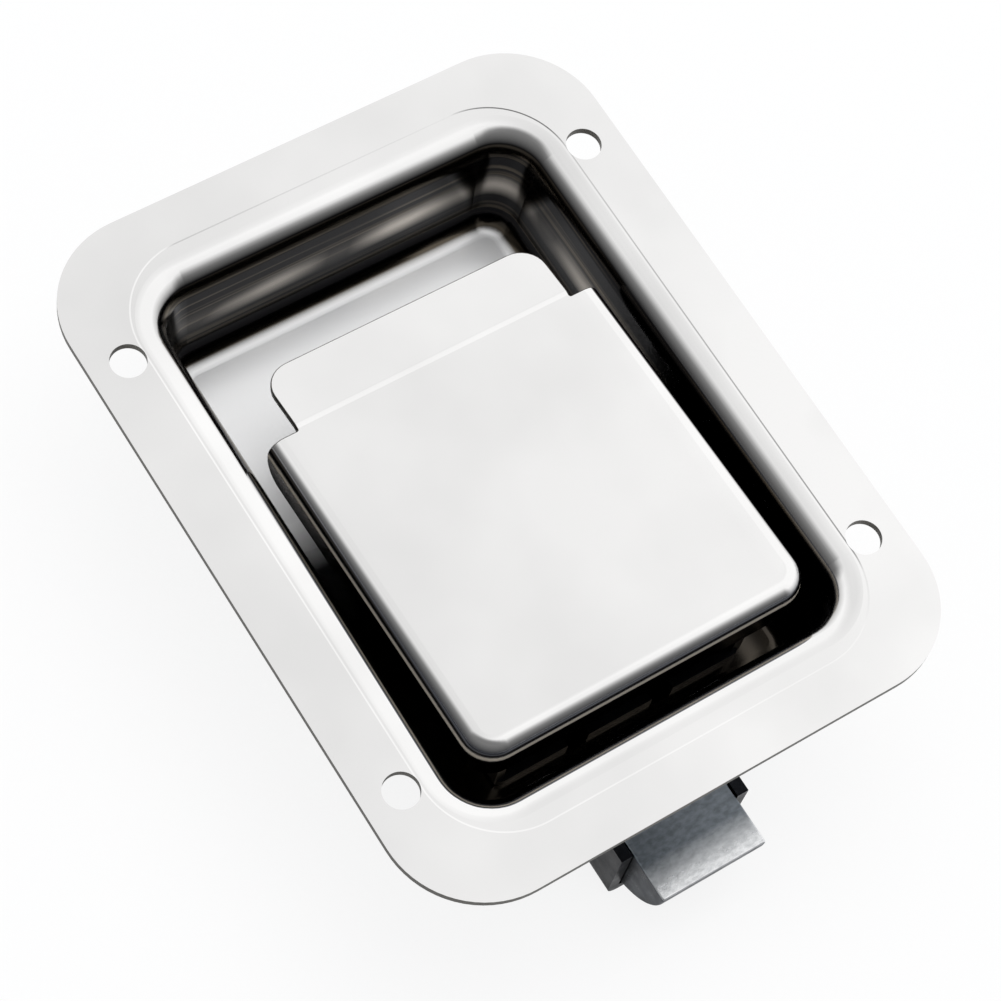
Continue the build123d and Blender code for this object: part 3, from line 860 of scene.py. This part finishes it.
@dataclass
class PaddlePress:
    """The folded paddle with its finger tab.

    Its own frame has its origin at the pivot pin's centre and its XY plane parallel
    to the face, which is tilted down towards the finger pocket.
    """

    shop: FinishShop
    sheet: float = 1.2
    half_width: float = 26.9
    lower: float = 9.2
    shoulder: float = 44.8
    rise: float = 9.4
    skirt: float = 7.0
    corner: float = 4.6
    fold: float = 2.5
    fold_steps: int = 7
    tab_half: float = 22.2
    tab_length: float = 10.2
    tab_corner: float = 4.0
    tab_drop: float = 4.0
    crease_rows: tuple[tuple[float, float], ...] = ((0.3, 0.02), (0.55, 0.15), (0.3, 0.02))
    end_round: float = 3.4
    tilt: float = 3.0
    pivot: Corner = (0.0, -29.5, -6.5)

    def build(self) -> bpy.types.Object:
        """Model and dress the paddle.

        Returns:
            The finished object.
        """
        bench = Bench("paddle_press")
        self.fold_sheet(bench)
        self.draw_tab(bench)
        bench.modify("SOLIDIFY", thickness=self.sheet * MM, offset=-1.0,
                     use_even_offset=True, material_offset_rim=1)
        bench.break_edges(0.17, material=1)
        bench.smooth()
        bench.set_down(-self.tilt, self.pivot)
        piece = bench.hand_over(PADDLE_BODY, "polished_stainless", "paddle")
        # Slot 1 holds the sheared rim and its rounding: rough metal painted dark as shade.
        self.shop.dress(piece, PADDLE_STEEL, SHEARED_AND_SHADED)
        return piece

    def fold_sheet(self, bench: Bench) -> None:
        """Draw the face and its three folded sides as an open surface.

        Args:
            bench: Bench that the paddle is made on.
        """
        run_out = self.corner + 2.0
        low, high = -self.lower, self.shoulder + run_out
        deselect()
        bpy.ops.mesh.primitive_plane_add(
            size=1.0, location=(0.0, (low + high) / 2 * MM, (self.rise - self.skirt) * MM))
        bpy.context.active_object.scale = (2 * self.half_width * MM, (high - low) * MM, 1.0)
        bench.take()
        for _ in range(2):
            bench.piece.data.materials.append(None)
        bench.begin("VERT")
        bpy.ops.mesh.select_all(action="SELECT")
        bpy.ops.mesh.bevel(affect="VERTICES", offset=self.corner * MM, segments=8, profile=0.5)
        bench.pick("FACE", lambda middle, normal: True)
        bpy.ops.mesh.extrude_region_move(
            TRANSFORM_OT_translate={"value": (0.0, 0.0, (self.skirt - self.fold) * MM)})
        quarter = math.pi / 2 / self.fold_steps
        for step in range(self.fold_steps):
            here, there = quarter * step, quarter * (step + 1)
            bpy.ops.mesh.inset(thickness=self.fold * (math.cos(here) - math.cos(there)) * MM,
                               depth=self.fold * (math.sin(there) - math.sin(here)) * MM)
        floor = self.rise - self.skirt
        bench.pick("FACE", lambda middle, normal: abs(middle.z - floor) < 0.01
                   and abs(normal.z) > 0.9)
        bpy.ops.mesh.delete(type="FACE")
        bench.slice((0.0, self.shoulder, 0.0), (0.0, 1.0, 0.0), drop=True, close=False)
        bench.end()

    def draw_tab(self, bench: Bench) -> None:
        """Draw the finger tab out of the face, and round the skirts' upper ends.

        Args:
            bench: Bench that the paddle is made on.
        """
        bench.begin("EDGE")
        for side in (-1.0, 1.0):
            bench.slice((side * self.tab_half, 0.0, 0.0), (1.0, 0.0, 0.0),
                        drop=False, close=False)
        bench.pick("EDGE", lambda a, b: min(a.y, b.y) > self.shoulder - 0.01
                   and max(abs(a.x), abs(b.x)) < self.tab_half + 0.01
                   and min(a.z, b.z) > self.rise - 0.01)
        slope = math.tan(math.radians(self.tab_drop))
        rest = self.tab_length - sum(run for run, _ in self.crease_rows)
        for run, rise in (*self.crease_rows, (rest, -slope * rest)):
            bpy.ops.mesh.extrude_region_move(
                TRANSFORM_OT_translate={"value": (0.0, run * MM, rise * MM)})
        tip = self.shoulder + self.tab_length - 0.01
        bench.pick("VERT", lambda at: at.y > tip)
        bpy.ops.mesh.bevel(affect="VERTICES", offset=self.tab_corner * MM, segments=8,
                           profile=0.5)
        foot = self.rise - self.skirt
        bench.pick("VERT", lambda at: at.y > self.shoulder - 0.01 and at.z < foot + 0.01)
        bpy.ops.mesh.bevel(affect="VERTICES", offset=self.end_round * MM, segments=6,
                           profile=0.5)
        bench.end()


@dataclass
class BoltForge:
    """The spring bolt: slanted head, flat tail and the bores for its pin and rod."""

    shop: FinishShop
    half_width: float = 8.6
    depth: float = 11.6
    face: float = -19.7
    tip: float = -61.1
    shoulder: float = -36.8
    tail_half: float = 4.8
    tail_depth: float = 8.6
    tail_top: float = -20.3
    tail_end: float = -12.0
    edge: float = 0.35
    bore: float = 2.52
    bore_length: float = 8.0
    pin_bore: float = 2.0
    pin_place: tuple[float, float] = (-23.25, -24.0)

    def build(self) -> bpy.types.Object:
        """Model and dress the bolt.

        Returns:
            The finished object.
        """
        bench = Bench("bolt_forging")
        nose = self.tip + self.depth
        bench.cylinder(self.depth, 2 * self.half_width, (0.0, nose, self.face),
                       (0.0, 90.0, 0.0), sides=96)
        bench.begin()
        bench.slice((0.0, 0.0, self.face), (0.0, 0.0, 1.0), drop=True, close=True)
        bench.slice((0.0, nose, 0.0), (0.0, 1.0, 0.0), drop=True, close=True)
        bench.pick("FACE", lambda middle, normal: normal.y > 0.99)
        bpy.ops.mesh.extrude_region_move(
            TRANSFORM_OT_translate={"value": (0.0, (self.shoulder - nose) * MM, 0.0)})
        bench.end()
        bench.tidy_mesh()
        tail = Bench("bolt_tail")
        tail.box((-self.tail_half, self.shoulder - 2.0, self.tail_top - self.tail_depth),
                 (self.tail_half, self.tail_end, self.tail_top))
        bench.modify("BOOLEAN", operation="UNION", object=tail.piece, solver="EXACT")
        bpy.data.objects.remove(tail.piece, do_unlink=True)
        bench.break_edges(self.edge, segments=3)
        middle = self.tail_top - self.tail_depth / 2
        rod_hole = Bench("rod_hole")
        rod_hole.cylinder(self.bore, self.bore_length + 1.0,
                          (0.0, self.tail_end - self.bore_length / 2 + 0.5, middle),
                          (90.0, 0.0, 0.0))
        bench.cut(rod_hole)
        pin_hole = Bench("pin_hole")
        pin_hole.cylinder(self.pin_bore, 3 * self.tail_half, (0.0, *self.pin_place),
                          (0.0, 90.0, 0.0))
        bench.cut(pin_hole)
        bench.smooth(30.0)
        piece = bench.hand_over(BOLT_BODY, "zinc_bolt", "bolt")
        self.shop.dress(piece, ZINC_BOLT)
        return piece


@dataclass
class RivetSet:
    """Four rivets with domed heads that clamp bracket, pan floor and housing feet."""

    shop: FinishShop
    shank: float = 2.0
    head: float = 3.6
    head_height: float = 1.3
    dome: float = 1.0
    top: float = -16.8
    bottom: float = -21.3
    places: tuple[tuple[float, float], ...] = (
        (-14.6, -31.0), (-14.6, 6.0), (14.6, -31.0), (14.6, 6.0))

    def build(self) -> list[bpy.types.Object]:
        """Model one rivet, copy it to its four places and dress them.

        Returns:
            The finished objects.
        """
        bench = Bench("rivet_master")
        for start, end in ((self.top, self.top + self.head_height),
                           (self.bottom - self.head_height, self.bottom)):
            bench.cylinder(self.head, end - start, (0.0, 0.0, (start + end) / 2),
                           (0.0, 0.0, 0.0), sides=40)
        bench.cylinder(self.shank, self.top - self.bottom,
                       (0.0, 0.0, (self.top + self.bottom) / 2), (0.0, 0.0, 0.0), sides=32)
        bench.begin("EDGE")
        ends = (self.top + self.head_height, self.bottom - self.head_height)
        bench.pick("EDGE", lambda a, b: any(
            abs(a.z - z) < 0.01 and abs(b.z - z) < 0.01 for z in ends))
        bpy.ops.mesh.bevel(affect="EDGES", offset=self.dome * MM, segments=5, profile=0.6)
        bench.end()
        bench.smooth(40.0)
        made = []
        for number, (x, y) in enumerate(self.places, start=1):
            copy = bench.piece if number == len(self.places) else bench.piece.copy()
            if copy is not bench.piece:
                copy.data = bench.piece.data.copy()
                bpy.context.scene.collection.objects.link(copy)
            copy.name = copy.data.name = f"rivet_{number}"
            holder = Bench(copy.name)
            holder.piece = copy
            holder.set_down(0.0, (x, y, 0.0))
            piece = holder.hand_over(PAN_BODY, "steel_rivet", f"housing_rivet_{number}")
            self.shop.dress(piece, RIVET_STEEL)
            made.append(piece)
        return made


@dataclass
class SpringWinder:
    """The bolt's compression spring and the paddle's two torsion springs."""

    shop: FinishShop
    wire_sides: int = 14
    bolt_steps: int = 32
    pivot_steps: int = 28
    bolt_wire: float = 0.6
    bolt_radius: float = 3.4
    bolt_turns: int = 8
    bolt_start: float = -11.15
    bolt_end: float = 13.35
    bolt_height: float = -24.6
    bolt_travel: float = 10.69
    pivot_wire: float = 0.5
    pivot_radius: float = 3.3
    pivot_turns: int = 4
    pivot_pitch: float = 1.25
    pivot_start: float = 9.2
    leg: float = 13.0
    pivot: Corner = (0.0, -29.5, -6.5)
    web_under: float = 5.65
    base_top: float = -9.75
    tilt: float = 3.0

    def wind(self, name: str, wire: float, radius: float, start: float, turns: float,
             height: float, steps: int) -> Bench:
        """Wind round wire about Z.

        Args:
            name: Name of the piece.
            wire: Radius of the wire.
            radius: Mean radius of the coil.
            start: Angle of the first end, in radians.
            turns: Number of turns.
            height: Rise from end to end.
            steps: Steps in the whole winding.

        Returns:
            The bench that holds the open coil.
        """
        bench = Bench(name)
        deselect()
        bpy.ops.mesh.primitive_circle_add(
            vertices=self.wire_sides, radius=wire * MM, location=(radius * MM, 0.0, 0.0),
            rotation=(math.pi / 2, 0.0, 0.0))
        bench.take()
        bench.modify("SCREW", axis="Z", angle=turns * 2 * math.pi, screw_offset=height * MM,
                     steps=steps, render_steps=steps, iterations=1, use_smooth_shade=True,
                     use_merge_vertices=False)
        bench.piece.rotation_euler = (0.0, 0.0, start)
        bench.hold()
        bpy.ops.object.transform_apply(location=True, rotation=True, scale=True)
        deselect()
        return bench

    def end_loops(self, bench: Bench) -> list[Vector]:
        """Find the middles of a coil's two open ends.

        Args:
            bench: Bench that holds the coil.

        Returns:
            The two middles, in millimetres, lowest first.
        """
        points = [v.co / MM for v in bench.piece.data.vertices]
        first = points[:self.wire_sides]
        last = points[-self.wire_sides:]
        return [sum(loop, Vector()) / self.wire_sides for loop in (first, last)]

    def run_leg(self, bench: Bench, end: Vector, target: Vector) -> None:
        """Extrude an open end of the wire straight to a point and close it.

        Args:
            bench: Bench that holds the coil.
            end: Middle of the open end.
            target: Where the leg ends.
        """
        bench.begin("EDGE")
        bench.pick("EDGE", lambda a, b: (a - end).length < 1.2 * self.pivot_wire
                   and (b - end).length < 1.2 * self.pivot_wire)
        bpy.ops.mesh.select_mode(type="EDGE")
        mesh = bmesh.from_edit_mesh(bench.piece.data)
        for edge in mesh.edges:
            if edge.select and not edge.is_boundary:
                edge.select_set(False)
        mesh.select_flush_mode()
        bmesh.update_edit_mesh(bench.piece.data)
        step = target - end
        bpy.ops.mesh.extrude_region_move(TRANSFORM_OT_translate={"value": step * MM})
        bpy.ops.mesh.edge_face_add()
        bench.end()

    def torsion(self, side: float) -> bpy.types.Object:
        """Wind one return spring and dress it.

        Args:
            side: 1 for the right-hand spring and -1 for the left-hand one.

        Returns:
            The finished object.
        """
        name, node = (("return_coil_right", "return_spring_right") if side > 0
                      else ("return_coil_left", "return_spring_left"))
        lean = math.radians(self.tilt)
        up = (self.leg * math.cos(lean) + self.web_under * math.sin(lean),
              self.web_under * math.cos(lean) - self.leg * math.sin(lean))
        down = (self.leg, self.base_top)
        start = self.touch(up, 1.0)
        end = self.touch(down, -1.0) + 2 * math.pi
        turns = self.pivot_turns + (end - start) / (2 * math.pi)
        rise = self.pivot_pitch * turns
        bench = self.wind(name, self.pivot_wire, self.pivot_radius, start, turns, rise,
                          steps=round(self.pivot_steps * turns))
        first, last = self.end_loops(bench)
        self.run_leg(bench, first, Vector((*up, first.z)))
        self.run_leg(bench, last, Vector((*down, last.z)))
        bench.tidy_mesh()
        self.stand_on_pin(bench, side)
        piece = bench.hand_over(PAN_BODY, "spring_steel", node)
        self.shop.dress(piece, SPRING)
        return piece

    def touch(self, target: tuple[float, float], side: float) -> float:
        """Find where a tangent from a point touches the coil.

        Args:
            target: The point, along Y and Z from the pin's centre.
            side: Which of the two tangents.

        Returns:
            The angle on the coil, in radians.
        """
        return (math.atan2(target[1], target[0])
                + side * math.acos(self.pivot_radius / math.hypot(*target)))

    def stand_on_pin(self, bench: Bench, side: float) -> None:
        """Turn a coil's axis onto the pivot pin and move it to its side.

        Args:
            bench: Bench that holds the coil.
            side: 1 for the right-hand spring and -1 for the left-hand one.
        """
        piece = bench.piece
        for point in piece.data.vertices:
            y, z, x = point.co
            point.co = (side * (x + self.pivot_start * MM), y + self.pivot[1] * MM,
                        z + self.pivot[2] * MM)
        bench.tidy_mesh()
        bench.smooth(60.0)

    def compression(self) -> bpy.types.Object:
        """Wind the bolt's spring with closed ends and dress it.

        Returns:
            The finished object.
        """
        length = self.bolt_end - self.bolt_start
        bench = self.wind("bolt_coil", self.bolt_wire, self.bolt_radius, 0.0,
                          float(self.bolt_turns), 0.0, steps=self.bolt_steps * self.bolt_turns)
        closed = 2 * self.bolt_wire
        open_pitch = (length - 2 * self.bolt_wire - 2 * closed) / (self.bolt_turns - 2)
        for number, point in enumerate(bench.piece.data.vertices):
            turn = (number // self.wire_sides) / self.bolt_steps
            dead = min(turn, 1.0) + max(turn - (self.bolt_turns - 1), 0.0)
            live = turn - dead
            rise = self.bolt_wire + dead * closed + live * open_pitch
            point.co.z += rise * MM
        bench.begin("EDGE")
        mesh = bmesh.from_edit_mesh(bench.piece.data)
        for edge in mesh.edges:
            edge.select_set(edge.is_boundary)
        bmesh.update_edit_mesh(bench.piece.data)
        bpy.ops.mesh.edge_face_add()
        bench.end()
        for point in bench.piece.data.vertices:
            x, y, along = point.co
            point.co = (x, along + self.bolt_start * MM, y + self.bolt_height * MM)
        bench.tidy_mesh()
        bench.smooth(60.0)
        piece = bench.hand_over(PAN_BODY, "spring_steel", "bolt_spring")
        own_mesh(piece)
        self.shop.dress(piece, SPRING)
        return piece

    def build(self) -> list[bpy.types.Object]:
        """Wind all three springs.

        Returns:
            The finished objects.
        """
        return [self.torsion(1.0), self.torsion(-1.0), self.compression()]


@dataclass
class Studio:
    """Floor, soft light, surroundings and camera.

    Lengths are in metres and directions are unit vectors in the part's frame.
    """

    floor_size: float = 6.0
    floor_gap: float = 0.0001
    floor_to_eye: float = 0.86
    floor_to_metal: float = 0.35
    camera_place: Corner = (-0.144361, -0.134354, 0.376086)
    camera_right: Corner = (0.83714, -0.53049, 0.13331)
    camera_up: Corner = (0.43274, 0.79139, 0.43178)
    lens: float = 111.98
    sensor: float = 36.0
    backdrop_way: Corner = (0.7431, 0.6691, 0.0)
    room_steps: tuple[tuple[float, float], ...] = (
        (0.28, 0.20), (0.35, 0.25), (0.40, 0.44), (0.44, 0.72), (0.49, 1.02), (0.60, 1.08))
    dim_way: Corner = (-0.038, 0.437, 0.899)
    dim_edge: float = 0.84
    dim_core: float = 0.98
    dim_level: float = 0.80
    room_fill: Colour = (0.55, 0.56, 0.58)
    floor_paint: Colour = (0.86, 0.86, 0.86)
    lamp_size: float = 1.6
    lamp_watts: float = 22.0
    lamp_place: Corner = (0.35, 0.30, 1.6)
    clip: tuple[float, float] = (0.01, 20.0)

    def build(self) -> None:
        """Add everything of the studio to the scene."""
        self.add_floor()
        self.add_world()
        self.add_lamps()
        self.add_camera()
        view = bpy.context.scene.view_settings
        view.view_transform = "Standard"

    def add_floor(self) -> None:
        """Add the pale floor that the latch stands on."""
        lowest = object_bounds()[0][2] - self.floor_gap
        deselect()
        bpy.ops.mesh.primitive_plane_add(size=self.floor_size, location=(0.0, 0.0, lowest))
        floor = bpy.context.active_object
        floor.name = "floor"
        bpy.ops.object.transform_apply(location=True, rotation=True, scale=True)
        made = bpy.data.materials.new("floor_paint")
        made.use_nodes = True
        board = Board(made.node_tree)
        board.nodes.clear()
        paint = board.node("BsdfDiffuse")
        paint.inputs["Color"].default_value = (*self.floor_paint, 1.0)
        glow = board.node("Emission")
        glow.inputs["Color"].default_value = (1.0, 1.0, 1.0, 1.0)
        glow.inputs["Strength"].default_value = 1.0
        mix = board.node("MixShader")
        out = board.node("OutputMaterial")
        path = board.node("LightPath")
        to_metal = board.sums("MAXIMUM", path.outputs["Is Glossy Ray"],
                              path.outputs["Is Transmission Ray"])
        to_eye = board.sums("MULTIPLY", path.outputs["Is Camera Ray"], self.floor_to_eye)
        share = board.sums("MAXIMUM", to_eye,
                           board.sums("MULTIPLY", to_metal, self.floor_to_metal))
        board.link(share, mix.inputs["Fac"])
        board.link(paint.outputs[0], mix.inputs[1])
        board.link(glow.outputs[0], mix.inputs[2])
        board.link(mix.outputs[0], out.inputs["Surface"])
        floor.data.materials.append(made)
        floor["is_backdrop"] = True

    def add_world(self) -> None:
        """Add the surroundings: white to the eye, a dim room with a bright ceiling to metal."""
        world = bpy.data.worlds.new("studio")
        bpy.context.scene.world = world
        world.use_nodes = True
        board = Board(world.node_tree)
        board.nodes.clear()
        way = board.node("TexCoord").outputs["Generated"]
        ahead = board.dot(way, self.backdrop_way)
        room = board.node("ValToRGB")
        ramp = room.color_ramp
        for end in (0, -1):
            position, level = self.room_steps[end]
            ramp.elements[end].position = position
            ramp.elements[end].color = (level, level, level, 1.0)
        for position, level in self.room_steps[1:-1]:
            ramp.elements.new(position).color = (level, level, level, 1.0)
        board.link(board.ranged(ahead, -1.0, 1.0, 0.0, 1.0), room.inputs["Fac"])
        patch = board.ranged(board.dot(way, self.dim_way),
                             self.dim_edge, self.dim_core, 1.0, self.dim_level)
        dimmed = board.node("VectorMath")
        dimmed.operation = "SCALE"
        board.link(room.outputs["Color"], dimmed.inputs[0])
        board.link(patch, dimmed.inputs["Scale"])
        path = board.node("LightPath")
        to_metal = board.mix(path.outputs["Is Glossy Ray"], self.room_fill, dimmed.outputs[0])
        to_eye = board.mix(path.outputs["Is Camera Ray"], to_metal, (1.0, 1.0, 1.0))
        back = board.node("Background")
        out = board.node("OutputWorld")
        board.link(to_eye, back.inputs["Color"])
        board.link(back.outputs[0], out.inputs["Surface"])

    def add_lamps(self) -> None:
        """Add the large soft lamp overhead."""
        light = bpy.data.lights.new("overhead", "AREA")
        light.shape = "RECTANGLE"
        light.size = light.size_y = self.lamp_size
        light.energy = self.lamp_watts
        lamp = bpy.data.objects.new("overhead", light)
        lamp.location = self.lamp_place
        lamp.rotation_euler = (Vector((0.0, 0.0, 0.0)) - lamp.location).to_track_quat(
            "-Z", "Y").to_euler()
        lamp.visible_glossy = False
        lamp.visible_camera = False
        bpy.context.scene.collection.objects.link(lamp)

    def add_camera(self) -> None:
        """Add the camera that looks down on the latch from its lower left."""
        right, up = Vector(self.camera_right), Vector(self.camera_up)
        back = right.cross(up)
        turn = Matrix((right, up, back)).transposed().to_4x4()
        data = bpy.data.cameras.new("camera")
        data.lens = self.lens
        data.sensor_width = self.sensor
        data.clip_start, data.clip_end = self.clip
        camera = bpy.data.objects.new("camera", data)
        camera.matrix_world = Matrix.Translation(Vector(self.camera_place)) @ turn
        bpy.context.scene.collection.objects.link(camera)
        bpy.context.scene.camera = camera


def deselect() -> None:
    """Deselect every object, so that an operator acts on new pieces only."""
    for thing in bpy.context.selected_objects:
        thing.select_set(False)


def main() -> None:
    """Build the studio and dress the latch, piece by piece."""
    logging.basicConfig(level=logging.INFO, format="%(name)s: %(message)s")
    shop = FinishShop()
    for name, finish in NODE_FINISHES.items():
        shop.dress(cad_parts[name], finish)
        LOG.info("node %s: %s", name, finish.name)
    made = [PaddlePress(shop).build(), BoltForge(shop).build(),
            *RivetSet(shop).build(), *SpringWinder(shop).build()]
    for piece in made:
        LOG.info("piece %s: %d faces", piece.name, len(piece.data.polygons))
    Studio().build()


if __name__ == "__main__":
    main()
